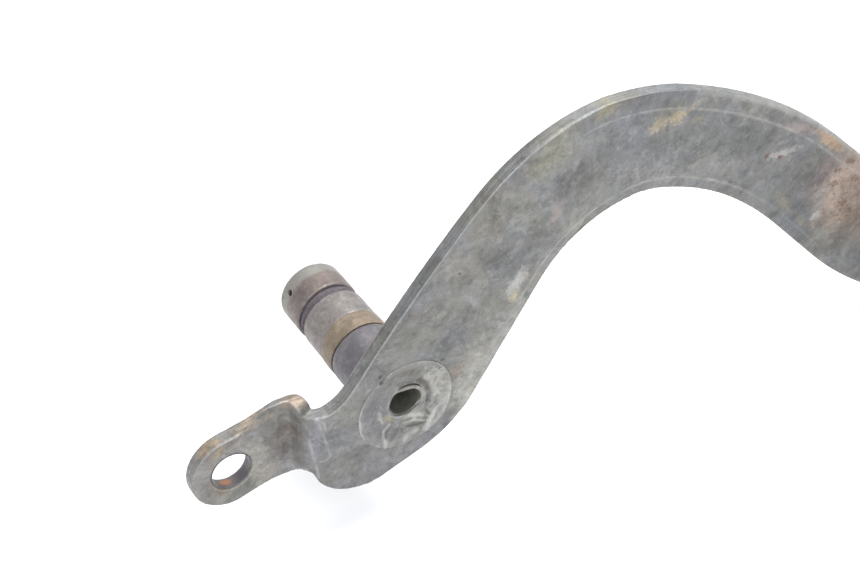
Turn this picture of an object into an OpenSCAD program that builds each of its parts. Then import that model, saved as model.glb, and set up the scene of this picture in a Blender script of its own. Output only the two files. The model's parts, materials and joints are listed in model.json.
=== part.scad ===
// Foot lever for a motorcycle: a pressed steel arm on a hollow pivot journal, with a joggled rear lug
// for a push-rod and a sprung toe peg that folds back along the arm.
// Origin: on the pivot axis, in the outer face of the arm. +X forward, +Y inboard, +Z up. Millimetres.

/* [Lever arm] */
// Thickness of the arm's steel plate
plate_t = 4; // [3.6:0.1:4.2]
// Distance that the rear lug is set inboard of the arm
lug_offset = 7; // [6:0.5:8]
// Radius of the rear lug's round end
lug_r = 10.7; // [10:0.1:11.5]
// Diameter of the push-rod eye in the lug
eye_d = 10.5; // [8:0.1:12]

/* [Pivot journal] */
// Diameter of the journal's bearing lands
journal_d = 18; // [17:0.1:18.5]
// Distance from the arm's outer face to the journal's tip
journal_end = 51; // [49.5:0.5:52]
// Diameter of the journal's head, staked into the arm
head_d = 26; // [24:0.5:27]
// Bore of the sleeve that the pivot bolt runs in
bolt_bore_d = 8.4; // [8.2:0.1:9]
// Outer diameter of that sleeve
sleeve_d = 10.4; // [10.2:0.1:11]

/* [Toe peg] */
// Diameter of the toe rubber
rubber_d = 19; // [17:0.5:19]
// Length of the toe rubber
rubber_len = 36; // [30:1:40]
// Diameter of the hinge pin
pin_d = 8; // [7.6:0.1:8.2]
// Thickness of each of the fork's ears
ear_t = 4; // [3.5:0.1:4.5]

/* [Hidden] */
$fn = 96;

// Arm outline, as seen from the outboard side
lug_c = [-45, -6];
chord = 2.4;
joggle_start_x = -22.4;
joggle_angle = 65;
joggle_inner_r = 2;

// Journal stations, measured from the arm's outer face
head_sink = 0.4;
dish_r = 7;
dish_depth = 1.3;
collar_r = 9.2;
collar_end = 20.2;
shoulder_r = 8.7;
shoulder_end = 22;
neck_r = 7.8;
land_start = 27.6;
groove_start = 37;
groove_end = 40.1;
groove_r = 7.4;
tip_round = 1.8;
journal_r = journal_d / 2;
oil_hole_d = 1.8;
oil_hole_y = 47.1;
oil_hole_angle = 148;
dust_ring_r = 9.2;
sleeve_end = 48.9;

// Hinge of the toe peg: a vertical axis outboard of the arm's tip
hinge_x = 183;
hinge_y = -7.5;
fork_top_z = -9;
barrel_h = 14;
barrel_r = 6.5;
foot_w = 11;
washer_t = 0.6;
gap = 0.05;
coil_h = 5.6;
pin_clearance = 0.06;
ear_r = 7;
heel_gap = 0.35;
web_near = 7.6;
web_far = 12.6;
peg_z = -20.8;
stem_r = 5;
rim_r = 7.2;
rim_t = 2.6;
rubber_start = 14.5;
barrel_top = fork_top_z - ear_t - washer_t - 2 * gap;
barrel_bottom = barrel_top - barrel_h;
coil_bottom = barrel_bottom - coil_h;
lower_ear_top = coil_bottom - washer_t - 2 * gap;
fork_bottom_z = lower_ear_top - ear_t;
rubber_end = rubber_start + rubber_len;

// Hinge pin, its clip and washers
pin_head_t = 2.6;
clip_t = 1;
clip_seat_r = 3.1;
clip_z = fork_bottom_z - gap - clip_t;
washer_r = 6.3;

// Torsion spring: a helix around the pin, with one leg on the arm and the other behind the fork's web
wire_r = 0.6;
coil_r = 5.1;
turns = 3;
steps_per_turn = 16;
wire_sides = 8;
coil_low = coil_bottom + wire_r + gap;
coil_rise = coil_h - 2 * wire_r - 2 * gap;
leg_angle = 195;

// Points along an arc in the plane, from angle a to angle b; the steps follow the chord length
function arc(cx, cz, r, a, b) =
    let (n = max(4, ceil(abs(b - a) * PI / 180 * r / chord)))
    [for (i = [0:n]) let (t = a + (b - a) * i / n) [cx + r * cos(t), cz + r * sin(t)]];

// Outline of the flat arm, anticlockwise from the top of the lug
arm_outline = concat(
    arc(lug_c[0], lug_c[1], lug_r, 96, 272),
    arc(-32.9, -34.4, 20, 105, 82),
    arc(-27.1, -13.3, 1.6, 180, 10),
    arc(-11.1, -6.1, 16.6, 214, 280),
    arc(-4.9, 9.6, 29.5, 286, 326),
    arc(67.6, 4.2, 34, 146, 92),
    arc(67.3, 12.3, 25.9, 90.5, 73),
    arc(49.4, -41.2, 82.3, 71.5, 52),
    arc(19.3, -80.9, 132.1, 51.9, 45.7),
    arc(-53.1, -152.3, 233.8, 45, 43),
    arc(253.9, 99.9, 162.9, 224, 233.5),
    arc(168.9, -15, 20, 234, 270),
    arc(184.6, -29, 6, 270, 360),
    arc(185.6, -12.6, 5, 0, 90),
    arc(178.6, 2.4, 10, 270, 226),
    arc(20.6, -92.4, 168, 47, 69),
    arc(55.5, -6.2, 75.1, 71.5, 89),
    arc(58.8, 15.7, 53.2, 94, 135.5),
    arc(306.2, -228.4, 400.8, 135.8, 143.2),
    arc(-23.5, 16.9, 10.1, -38, -92),
    arc(-23.5, -105.2, 112, 91.2, 101)
);

// Swelling on top of the joggle: its outline square to the web, and the slope of its crown
swell_outline = concat(
    [[-13.8, 0]],
    arc(-17.3, 6.8, 2.9, 5, 80),
    arc(-20.4, 8.6, 1.75, 80, 150),
    [[-24, 5.1], [-24, 0]]
);
swell_crown = [[-1, 0], [12, 0], [12, 6.4], [9.6, 9], [7.2, 10.2], [-1, 10.2]];

// Lip that the bending left along the rear of the lug's top edge: its outline, and its slope
lip_outline = [[-40.5, 0], [-40.5, 5.3], [-31.3, 7.9], [-28, 7.9], [-28, 0]];
lip_slope = [[7.4, 0], [7.4, 5.6], [9.6, 7.9], [12, 7.9], [12, 0]];

// One face of the joggled plate, as seen from above; r is its first bend's radius and y its start
function joggle_face(y, first_r, second_r) =
    let (
        bends_r = 2 * joggle_inner_r + plate_t,
        web = (lug_offset - bends_r * (1 - cos(joggle_angle))) / sin(joggle_angle),
        c2x = joggle_start_x - bends_r * sin(joggle_angle) - web * cos(joggle_angle)
    )
    concat(
        [for (i = [0:8]) let (t = joggle_angle * i / 8)
            [joggle_start_x - first_r * sin(t), y + first_r * (1 - cos(t))]],
        [for (i = [8:-1:0]) let (t = joggle_angle * i / 8)
            [c2x + second_r * sin(t), y + lug_offset - second_r * (1 - cos(t))]]
    );

// Turns a shape modelled along Z so that it runs along +Y
module along_y() {
    rotate([-90, 0, 0]) children();
}

// Turns a flat drawing in X and Z into a plate from y0 to y1
module plate(y0, y1) {
    translate([0, y1, 0]) rotate([90, 0, 0]) linear_extrude(y1 - y0) children();
}

module hinge_frame() {
    translate([hinge_x, hinge_y, 0]) children();
}

module joggle_swell() {
    reach = 60;
    intersection() {
        rotate([0, 0, -joggle_angle]) plate(-reach, 0) polygon(swell_outline);
        translate([-reach, 0, 0]) rotate([90, 0, 90]) linear_extrude(reach) polygon(swell_crown);
    }
}

module lug_lip() {
    reach = 60;
    intersection() {
        plate(-1, 12) polygon(lip_outline);
        translate([-reach, 0, 0]) rotate([90, 0, 90]) linear_extrude(reach) polygon(lip_slope);
    }
}

module lever_arm() {
    outer_r = joggle_inner_r + plate_t;
    front = joggle_face(0, outer_r, joggle_inner_r);
    back = joggle_face(plate_t, joggle_inner_r, outer_r);
    far_left = -70;
    far_right = 210;
    strip = concat(
        [[far_right, 0]],
        front,
        [[far_left, lug_offset], [far_left, lug_offset + plate_t]],
        [for (i = [len(back) - 1:-1:0]) back[i]],
        [[far_right, plate_t]]
    );
    color("#82847f") difference() {
        intersection() {
            union() {
                plate(-1, lug_offset + plate_t + 1) polygon(arm_outline);
                joggle_swell();
                lug_lip();
            }
            translate([0, 0, -60]) linear_extrude(160) polygon(strip);
        }
        translate([0, -1, 0]) along_y() cylinder(d = head_d, h = plate_t + 2);
        translate([lug_c[0], lug_offset - 1, lug_c[1]]) along_y() cylinder(d = eye_d, h = plate_t + 2);
    }
}

module pivot_journal() {
    collar_arc = [for (i = [0:6]) let (t = 90 * i / 6)
        [shoulder_r + (collar_r - shoulder_r) * cos(t), collar_end + (shoulder_end - collar_end) * sin(t)]];
    tip_arc = [for (i = [0:5]) let (t = 90 * i / 5)
        [journal_r - tip_round * (1 - cos(t)), journal_end - tip_round * (1 - sin(t))]];
    bore_r = sleeve_d / 2;
    profile = concat(
        [[bore_r, head_sink + dish_depth], [dish_r, head_sink + dish_depth], [dish_r + 1, head_sink]],
        [[head_d / 2, head_sink], [head_d / 2, plate_t], [collar_r + 1.6, plate_t]],
        [[collar_r + 0.5, plate_t + 0.5], [collar_r, plate_t + 1.6]],
        collar_arc,
        [[neck_r, shoulder_end], [neck_r, land_start], [journal_r, land_start], [journal_r, groove_start]],
        [[groove_r, groove_start], [groove_r, groove_end], [journal_r, groove_end]],
        tip_arc,
        [[bore_r + 0.6, journal_end], [bore_r, journal_end - 0.6]]
    );
    color("#8f857c") difference() {
        along_y() rotate_extrude() polygon([for (p = profile) [p[0], p[1]]]);
        translate([0, oil_hole_y, 0]) rotate([0, -oil_hole_angle, 0]) rotate([0, 90, 0])
            cylinder(d = oil_hole_d, h = journal_d);
    }
}

// A plain ring around the pivot axis
module ring(inner_r, outer_r, y0, y1) {
    translate([0, y0, 0]) along_y() difference() {
        cylinder(r = outer_r, h = y1 - y0);
        translate([0, 0, -1]) cylinder(r = inner_r, h = y1 - y0 + 2);
    }
}

module bore_sleeve() {
    color("#b3aea2") ring(bolt_bore_d / 2, sleeve_d / 2, 0, sleeve_end);
}

module dust_ring() {
    color("#8a6b35") ring(neck_r, dust_ring_r, shoulder_end + gap, land_start);
}

module tip_o_ring() {
    swell = 0.5;
    color("#2a2426") along_y() rotate_extrude() polygon([
        [groove_r, groove_start + gap], [journal_r - swell, groove_start + gap],
        [journal_r - 0.25, groove_start + 0.8], [journal_r - 0.25, groove_end - 0.8],
        [journal_r - swell, groove_end - gap], [groove_r, groove_end - gap]
    ]);
}

module hinge_barrel() {
    color("#7c7d79") hinge_frame() translate([0, 0, barrel_bottom]) difference() {
        union() {
            cylinder(r = barrel_r, h = barrel_h);
            translate([-foot_w / 2, 0, 0]) cube([foot_w, -hinge_y, barrel_h]);
        }
        translate([0, 0, -1]) cylinder(r = pin_d / 2 + pin_clearance, h = barrel_h + 2);
    }
}

// One ear of the fork: round at the back so that it can swing, with a heel that rests against the arm
module ear() {
    difference() {
        union() {
            cylinder(r = ear_r, h = ear_t);
            translate([-ear_r, -web_far, 0]) cube([2 * ear_r, web_far, ear_t]);
            cube([ear_r, -hinge_y - heel_gap, ear_t]);
        }
        translate([0, 0, -1]) cylinder(d = pin_d, h = ear_t + 2);
    }
}

module toe_peg() {
    color("#85867f") hinge_frame() {
        translate([0, 0, fork_top_z - ear_t]) ear();
        translate([0, 0, fork_bottom_z]) ear();
        translate([-ear_r, -web_far, fork_bottom_z])
            cube([2 * ear_r, web_far - web_near, fork_top_z - fork_bottom_z]);
        translate([0, -web_near - 1, peg_z]) rotate([90, 0, 0])
            cylinder(r = stem_r, h = rubber_end + rim_t - web_near - 1);
        translate([0, -rubber_end, peg_z]) rotate([90, 0, 0]) cylinder(r = rim_r, h = rim_t);
    }
}

module toe_rubber() {
    rib_pitch = 4;
    rib_depth = 1.3;
    rib_gap = 1.4;
    ribs = floor((rubber_len - 2) / rib_pitch);
    color("#26262a") hinge_frame() translate([0, -rubber_start, peg_z]) rotate([90, 0, 0]) difference() {
        cylinder(d = rubber_d, h = rubber_len);
        translate([0, 0, -1]) cylinder(r = stem_r, h = rubber_len + 2);
        for (i = [1:ribs - 1]) {
            translate([0, 0, i * rubber_len / ribs - rib_gap / 2]) difference() {
                cylinder(d = rubber_d + 2, h = rib_gap);
                translate([0, 0, -1]) cylinder(d = rubber_d - 2 * rib_depth, h = rib_gap + 2);
            }
        }
    }
}

module hinge_pin() {
    pin_r = pin_d / 2;
    tip_z = clip_z - 1.8;
    color("#9a978e") hinge_frame() rotate_extrude() polygon([
        [0, tip_z], [pin_r - 0.7, tip_z], [pin_r, tip_z + 0.7], [pin_r, clip_z - gap],
        [clip_seat_r, clip_z - gap], [clip_seat_r, clip_z + clip_t + gap],
        [pin_r, clip_z + clip_t + gap], [pin_r, fork_top_z],
        [ear_r - 0.6, fork_top_z], [ear_r - 0.6, fork_top_z + pin_head_t - 0.8],
        [ear_r - 1.4, fork_top_z + pin_head_t], [0, fork_top_z + pin_head_t]
    ]);
}

module pin_clip() {
    clip_r = 6.4;
    color("#55534e") hinge_frame() translate([0, 0, clip_z]) difference() {
        cylinder(r = clip_r, h = clip_t);
        translate([0, 0, -1]) cylinder(r = clip_seat_r, h = clip_t + 2);
        translate([0, -clip_seat_r * 0.8, -1]) cube([clip_r + 1, clip_seat_r * 1.6, clip_t + 2]);
        for (a = [115, -115]) {
            rotate(a) translate([clip_r - 0.9, 0, -1]) cylinder(r = 1.5, h = clip_t + 2);
        }
    }
}

module washer(z) {
    color("#a7a59b") hinge_frame() translate([0, 0, z]) difference() {
        cylinder(r = washer_r, h = washer_t);
        translate([0, 0, -1]) cylinder(r = pin_d / 2 + pin_clearance, h = washer_t + 2);
    }
}

module upper_washer() {
    washer(barrel_top + gap);
}

module lower_washer() {
    washer(coil_bottom - gap - washer_t);
}

// Route of the spring's wire: the lower leg, the coil and the upper leg
spring_route = concat(
    [[coil_r * cos(leg_angle) - 0.6, -web_near + wire_r + 0.2, coil_low]],
    [for (i = [0:turns * steps_per_turn]) let (t = leg_angle + 360 * i / steps_per_turn)
        [coil_r * cos(t), coil_r * sin(t), coil_low + coil_rise * i / (turns * steps_per_turn)]],
    [[coil_r * cos(leg_angle) + 0.6, -hinge_y - wire_r - 0.1, coil_low + coil_rise]]
);

function unit(v) = v / norm(v);

// A tube swept along a route that stays nearly level
module wire(route, r, sides) {
    last = len(route) - 1;
    rings = [for (i = [0:last]) let (
            dir = unit(route[min(i + 1, last)] - route[max(i - 1, 0)]),
            side = unit(cross(dir, [0, 0, 1])),
            up = cross(side, dir)
        ) for (k = [0:sides - 1]) route[i] + r * (cos(360 * k / sides) * side + sin(360 * k / sides) * up)];
    faces = concat(
        [[for (k = [0:sides - 1]) k]],
        [for (i = [0:last - 1]) for (k = [0:sides - 1])
            [i * sides + k, (i + 1) * sides + k, (i + 1) * sides + (k + 1) % sides, i * sides + (k + 1) % sides]],
        [[for (k = [sides - 1:-1:0]) last * sides + k]]
    );
    polyhedron(rings, faces);
}

module fold_spring() {
    color("#6e6b64") hinge_frame() wire(spring_route, wire_r, wire_sides);
}

lever_arm();
pivot_journal();
bore_sleeve();
dust_ring();
tip_o_ring();
hinge_barrel();
toe_peg();
toe_rubber();
hinge_pin();
pin_clip();
upper_washer();
lower_washer();
fold_spring();
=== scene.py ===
import json
import math

import bmesh
import bpy
import numpy as np
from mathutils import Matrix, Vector


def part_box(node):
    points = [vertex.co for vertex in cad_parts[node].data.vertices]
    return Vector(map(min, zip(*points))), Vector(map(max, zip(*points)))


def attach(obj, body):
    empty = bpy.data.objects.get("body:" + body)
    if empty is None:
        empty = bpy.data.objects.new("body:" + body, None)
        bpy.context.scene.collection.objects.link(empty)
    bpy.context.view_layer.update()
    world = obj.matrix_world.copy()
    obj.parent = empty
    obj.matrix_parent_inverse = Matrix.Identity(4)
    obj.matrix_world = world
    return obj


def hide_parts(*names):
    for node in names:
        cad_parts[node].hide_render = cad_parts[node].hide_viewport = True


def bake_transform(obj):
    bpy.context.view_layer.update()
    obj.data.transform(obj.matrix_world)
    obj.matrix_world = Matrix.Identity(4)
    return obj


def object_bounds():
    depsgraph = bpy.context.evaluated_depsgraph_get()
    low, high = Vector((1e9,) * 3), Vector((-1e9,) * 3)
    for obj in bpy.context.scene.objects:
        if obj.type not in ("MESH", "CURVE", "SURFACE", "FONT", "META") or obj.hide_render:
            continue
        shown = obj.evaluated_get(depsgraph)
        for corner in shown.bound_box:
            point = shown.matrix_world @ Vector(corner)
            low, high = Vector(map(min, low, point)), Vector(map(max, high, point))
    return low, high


MM = 0.001
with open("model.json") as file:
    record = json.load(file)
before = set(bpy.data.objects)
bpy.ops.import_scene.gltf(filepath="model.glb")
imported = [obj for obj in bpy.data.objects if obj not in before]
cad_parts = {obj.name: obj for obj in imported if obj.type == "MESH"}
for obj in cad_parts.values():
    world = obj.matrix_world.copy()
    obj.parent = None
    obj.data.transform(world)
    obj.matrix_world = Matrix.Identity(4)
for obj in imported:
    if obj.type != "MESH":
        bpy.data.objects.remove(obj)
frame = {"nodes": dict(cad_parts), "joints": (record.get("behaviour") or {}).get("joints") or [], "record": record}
cad_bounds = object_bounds()
nodes = frame["nodes"]
mounts = {m["name"]: m for m in frame["record"]["mounts"]}
hinge_at = Vector(frame["joints"][0]["pos_m"]) / MM
eye_at = Vector(mounts["rod_eye"]["pos_m"]) / MM
weld_gap = 0.002  # corners of a CAD mesh closer than this, in millimetres, are one corner


# ---- Meshes ---------------------------------------------------------------------------------------


def box_mm(node):
    low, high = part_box(node)
    return low / MM, high / MM


def new_object(name, mesh):
    piece = bpy.data.objects.new(name, mesh)
    bpy.context.scene.collection.objects.link(piece)
    return piece


def positions(mesh):
    flat = np.empty(len(mesh.vertices) * 3, np.float32)
    mesh.vertices.foreach_get("co", flat)
    return flat.reshape(-1, 3).astype(float) / MM


def set_positions(mesh, points):
    mesh.vertices.foreach_set("co", (points * MM).astype(np.float32).ravel())
    mesh.update()


def normals(mesh):
    flat = np.empty(len(mesh.vertices) * 3, np.float32)
    mesh.vertex_normals.foreach_get("vector", flat)
    return flat.reshape(-1, 3).astype(float)


def edge_pairs(mesh):
    flat = np.empty(len(mesh.edges) * 2, np.int32)
    mesh.edges.foreach_get("vertices", flat)
    return flat.reshape(-1, 2)


def neighbour_mean(values, pairs):
    """The mean of each vertex's neighbours, for one number or several a vertex."""
    count = len(values)
    degree = np.maximum(np.bincount(pairs.ravel(), minlength=count), 1)
    columns = values.reshape(count, -1)
    sums = [
        np.bincount(pairs[:, 0], columns[pairs[:, 1], k], count)
        + np.bincount(pairs[:, 1], columns[pairs[:, 0], k], count)
        for k in range(columns.shape[1])
    ]
    return (np.stack(sums, 1) / degree[:, None]).reshape(values.shape)


def soften(mesh, rounds):
    """Rounds every corner of a dense mesh, and leaves its flat parts where they are."""
    pairs = edge_pairs(mesh)
    points = positions(mesh)
    for _ in range(rounds):
        points += 0.5 * (neighbour_mean(points, pairs) - points)
    set_positions(mesh, points)


def add_attribute(mesh, name, values):
    attribute = mesh.attributes.new(name, "FLOAT", "POINT")
    attribute.data.foreach_set("value", values.astype(np.float32))


def mark_wear_and_sheen(mesh, spread):
    """Stores how much each vertex stands out of its surroundings: corners above 0, which the materials paint
    lighter as wear and as painted highlight, hollows below 0, which they paint darker.
    Corners that face down are painted less bright, so the painted highlight falls from above."""
    pairs = edge_pairs(mesh)
    points = positions(mesh)
    mean = points
    for _ in range(spread):
        mean = neighbour_mean(mean, pairs)
    facing = normals(mesh)
    relief = np.sum((points - mean) * facing, axis=1)
    rubbed_and_lit = 0.35 + 0.65 * step_up(facing[:, 2], -0.25, 0.45)
    add_attribute(mesh, "wear_and_sheen", np.where(relief > 0, relief * rubbed_and_lit, relief))


def closed_piece(name, verts, faces):
    """A new piece whose faces all point outwards. Its corners are in metres."""
    mesh = bpy.data.meshes.new(name)
    mesh.from_pydata(verts, [], faces)
    work = bmesh.new()
    work.from_mesh(mesh)
    bmesh.ops.recalc_face_normals(work, faces=work.faces)
    work.to_mesh(mesh)
    work.free()
    return new_object(name, mesh)


def dense_copy(node, name, voxel, rounds):
    """A new piece from a copy of a CAD node's mesh, with small even faces and softened corners.
    The voxel's size is in millimetres."""
    mesh = nodes[node].data.copy()
    mesh.materials.clear()
    work = bmesh.new()
    work.from_mesh(mesh)
    bmesh.ops.remove_doubles(work, verts=work.verts, dist=weld_gap * MM)
    work.to_mesh(mesh)
    work.free()
    rough = new_object(name + "_rough", mesh)
    remesh = rough.modifiers.new("remesh", "REMESH")
    remesh.mode = "VOXEL"
    remesh.voxel_size = voxel * MM
    graph = bpy.context.evaluated_depsgraph_get()
    dense = bpy.data.meshes.new_from_object(rough.evaluated_get(graph))
    bpy.data.objects.remove(rough)
    dense.name = name
    piece = new_object(name, dense)
    soften(dense, rounds)
    return piece


def finish_piece(piece, material, body, replaced=(), spread=6):
    mark_wear_and_sheen(piece.data, spread)
    piece.data.shade_smooth()
    piece.data.materials.clear()
    piece.data.materials.append(material)
    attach(piece, body)
    if replaced:
        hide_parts(*replaced)
    return piece


def ramp_down(distance, reach):
    """1 at distance 0, falling smoothly to 0 at reach."""
    t = np.clip(1 - distance / reach, 0, 1)
    return t * t * (3 - 2 * t)


def step_up(value, low, high):
    t = np.clip((value - low) / (high - low), 0, 1)
    return t * t * (3 - 2 * t)


def ridge(distance, width):
    return np.exp(-((distance / width) ** 2))


def dent(points, centre, radius, depth, direction):
    """Presses a round hollow into the points near centre, along direction."""
    away = np.linalg.norm(points - np.array(centre), axis=1)
    return points + np.outer(ramp_down(away, radius) * depth, direction)


def segment_distance(x, z, start, end):
    """Distance of each point from the line between two points of the XZ plane."""
    ax, az = start
    bx, bz = end
    dx, dz = bx - ax, bz - az
    t = np.clip(((x - ax) * dx + (z - az) * dz) / max(dx * dx + dz * dz, 1e-9), 0, 1)
    return np.hypot(x - ax - t * dx, z - az - t * dz)


# ---- Materials ------------------------------------------------------------------------------------


class Look:
    """A material whose nodes are added by short calls. Its coordinates are the object's, in millimetres."""

    def __init__(self, name):
        self.material = bpy.data.materials.new(name)
        self.material.use_nodes = True
        self.tree = self.material.node_tree
        self.shader = self.tree.nodes["Principled BSDF"]
        coordinates = self.add("ShaderNodeTexCoord")
        self.mm = self.scaled(coordinates.outputs["Object"], (1 / MM,) * 3)
        self.borders = {}

    def add(self, kind, **settings):
        node = self.tree.nodes.new(kind)
        for key, value in settings.items():
            setattr(node, key, value)
        return node

    def put(self, value, socket):
        if isinstance(value, bpy.types.NodeSocket):
            self.tree.links.new(value, socket)
        elif hasattr(socket.default_value, "__len__") and len(socket.default_value) == 4:
            socket.default_value = (*value[:3], 1)
        else:
            socket.default_value = value

    def scaled(self, vector, scale, turn=(0, 0, 0)):
        mapping = self.add("ShaderNodeMapping")
        self.put(vector, mapping.inputs["Vector"])
        mapping.inputs["Scale"].default_value = scale
        mapping.inputs["Rotation"].default_value = turn
        return mapping.outputs["Vector"]

    def noise(self, size, seed, detail=3.0, roughness=0.55, vector=None, distortion=0.0):
        """Noise from 0 to 1 with lumps of a size in millimetres."""
        node = self.add("ShaderNodeTexNoise", noise_dimensions="4D")
        self.put(self.mm if vector is None else vector, node.inputs["Vector"])
        node.inputs["W"].default_value = seed
        node.inputs["Scale"].default_value = 1 / size
        node.inputs["Detail"].default_value = detail
        node.inputs["Roughness"].default_value = roughness
        node.inputs["Distortion"].default_value = distortion
        return node.outputs["Fac"]

    def cells(self, size, seed):
        """Distance from the nearest of many scattered points, for pits and specks."""
        node = self.add("ShaderNodeTexVoronoi", voronoi_dimensions="4D")
        self.put(self.mm, node.inputs["Vector"])
        node.inputs["W"].default_value = seed
        node.inputs["Scale"].default_value = 1 / size
        return node.outputs["Distance"]

    def math(self, operation, a, b=0.0, clamp=False):
        node = self.add("ShaderNodeMath", operation=operation, use_clamp=clamp)
        self.put(a, node.inputs[0])
        self.put(b, node.inputs[1])
        return node.outputs[0]

    def between(self, value, low, high, to_low=0.0, to_high=1.0):
        """A smooth step: to_low at low, to_high at high."""
        node = self.add("ShaderNodeMapRange", interpolation_type="SMOOTHSTEP")
        self.put(value, node.inputs["Value"])
        self.put(low, node.inputs["From Min"])
        self.put(high, node.inputs["From Max"])
        self.put(to_low, node.inputs["To Min"])
        self.put(to_high, node.inputs["To Max"])
        return node.outputs["Result"]

    def mix(self, factor, a, b, blend="MIX"):
        node = self.add("ShaderNodeMix", data_type="RGBA", blend_type=blend)
        self.put(factor, node.inputs["Factor"])
        self.put(a, node.inputs[6])
        self.put(b, node.inputs[7])
        return node.outputs[2]

    def attribute(self, name):
        node = self.add("ShaderNodeAttribute", attribute_name=name)
        return node.outputs["Fac"]

    def axis(self, name):
        node = self.add("ShaderNodeSeparateXYZ")
        self.put(self.mm, node.inputs[0])
        return node.outputs[name]

    def ragged(self, grain):
        """Shared noise that breaks up the borders of patches, centred on 0."""
        if grain not in self.borders:
            self.borders[grain] = self.math("SUBTRACT", self.noise(grain, 90 + grain, 8.0, 0.72), 0.5)
        return self.borders[grain]

    def spot(self, centre, radii, turn=0.0, ragged=0.9, grain=3.0, soft=0.6):
        """A ragged patch, 1 in the middle and 0 outside. Radii in millimetres, the first one along a
        direction turned up from X by turn. Its border can lie up to reach radii away from the centre."""
        mapping = self.add("ShaderNodeMapping", vector_type="TEXTURE")
        self.put(self.mm, mapping.inputs["Vector"])
        mapping.inputs["Location"].default_value = centre
        mapping.inputs["Rotation"].default_value = (0, -turn, 0)
        reach = 4
        mapping.inputs["Scale"].default_value = [r * reach for r in radii]
        ball = self.add("ShaderNodeTexGradient", gradient_type="SPHERICAL")
        self.put(mapping.outputs["Vector"], ball.inputs["Vector"])
        rough = self.math("MULTIPLY", self.ragged(grain), 2 * ragged / reach)
        inside = self.math("SUBTRACT", ball.outputs["Fac"], rough)
        return self.between(inside, 1 - (1.0 + soft / 3) / reach, 1 - (1.0 - soft) / reach)

    def paint(self, colour, mask, strength, tint):
        return self.mix(self.math("MULTIPLY", mask, strength, clamp=True), colour, tint)

    def shade(self, colour, factor):
        node = self.add("ShaderNodeVectorMath", operation="SCALE")
        self.put(colour, node.inputs[0])
        self.put(factor, node.inputs["Scale"])
        return node.outputs["Vector"]

    def vary(self, colour, noises):
        """Makes the colour lighter and darker by several (noise, amount) pairs."""
        factor = 1.0
        for noise, amount in noises:
            swing = self.math("MULTIPLY", self.math("SUBTRACT", noise, 0.5), amount)
            factor = self.math("ADD", swing, factor)
        return self.shade(colour, self.math("MAXIMUM", factor, 0.2))

    def bump(self, height, depth):
        """Bump with a depth in millimetres for a height of 1."""
        node = self.add("ShaderNodeBump")
        node.inputs["Distance"].default_value = depth * MM
        self.put(height, node.inputs["Height"])
        return node.outputs["Normal"]

    def finish(self, colour, roughness, metallic, normal, specular=0.5):
        self.put(colour, self.shader.inputs["Base Color"])
        self.put(roughness, self.shader.inputs["Roughness"])
        self.shader.inputs["Metallic"].default_value = metallic
        self.shader.inputs["Specular IOR Level"].default_value = specular
        self.put(normal, self.shader.inputs["Normal"])
        return self.material


def weather(look, colour, seed, grain=1.0):
    """Adds what all the old metal here has: mottling, dull patches, flaked skins, brown stain, water marks,
    pale oxide, specks and pits. Returns the colour, the fine relief's height and the mask of the oxide."""
    fine = look.noise(0.55 * grain, seed, 4.0, 0.75)
    middle = look.noise(2.6 * grain, seed + 1, 7.0, 0.72, distortion=0.4)
    broad = look.noise(11 * grain, seed + 2, 8.0, 0.66, distortion=0.7)
    colour = look.vary(colour, ((fine, 0.55), (middle, 0.9), (broad, 1.3)))
    dull = look.between(look.math("ADD", broad, look.math("MULTIPLY", look.ragged(2.0), 0.35)), 0.52, 0.64)
    colour = look.mix(look.math("MULTIPLY", dull, 0.4), colour, look.shade(colour, 0.70))
    # skins of plating that flaked off one over another, each with a sharp ragged border
    for size, low, tone in ((13.0, 0.51, 0.86), (6.0, 0.54, 0.82), (3.2, 0.57, 1.13), (8.0, 0.55, 1.14)):
        flaking = look.noise(size * grain, seed + size, 9.0, 0.70, distortion=1.0)
        skin = look.between(flaking, low, low + 0.018)
        colour = look.mix(skin, colour, look.shade(colour, tone))
    brown = look.between(look.noise(9 * grain, seed + 3, 7.0, 0.68), 0.50, 0.64)
    browned = look.mix(1.0, colour, (1.0, 0.93, 0.86), "MULTIPLY")
    colour = look.mix(look.math("MULTIPLY", brown, 0.6), colour, browned)
    lines = look.math("ABSOLUTE", look.math("SUBTRACT", look.noise(12 * grain, seed + 4, 4.0, 0.5), 0.5))
    here = look.between(look.noise(15 * grain, seed + 5, 3.0), 0.55, 0.68)
    tide = look.math("MULTIPLY", look.between(lines, 0.010, 0.001), here)
    colour = look.paint(colour, tide, 0.30, (0.36, 0.36, 0.345))
    oxide = look.math(
        "MULTIPLY",
        look.between(look.noise(1.3 * grain, seed + 6, 6.0, 0.80), 0.52, 0.66),
        look.between(look.noise(12 * grain, seed + 7, 5.0, 0.6), 0.46, 0.66),
    )
    colour = look.paint(colour, oxide, 0.38, (0.38, 0.375, 0.345))
    specks = look.between(look.cells(6.5 * grain, seed + 8), 0.06, 0.03)
    colour = look.paint(colour, specks, 0.45, (0.52, 0.52, 0.50))
    pits = look.between(look.cells(2.2 * grain, seed + 9), 0.17, 0.06)
    pits = look.math("MULTIPLY", pits, look.between(middle, 0.46, 0.54))
    colour = look.paint(colour, pits, 0.55, (0.055, 0.050, 0.045))
    height = look.math("ADD", look.math("MULTIPLY", fine, 0.5), look.math("MULTIPLY", middle, 1.2))
    height = look.math("SUBTRACT", height, look.math("MULTIPLY", pits, 0.8))
    return colour, height, oxide


def scratches(look, seed, turn):
    """Long fine lines in the face, turned up from X. 1 on a line and 0 elsewhere."""
    length = 26.0
    width = 0.2
    turned = look.scaled(look.mm, (1, 1, 1), turn=(0, turn, 0))
    stretched = look.scaled(turned, (1 / length, 1 / width, 1 / width))
    lines = look.between(look.noise(1.0, seed, 1.0, 0.3, vector=stretched), 0.71, 0.80)
    here = look.between(look.noise(18, seed + 1, 2.0), 0.5, 0.6)
    return look.math("MULTIPLY", lines, here)


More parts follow.
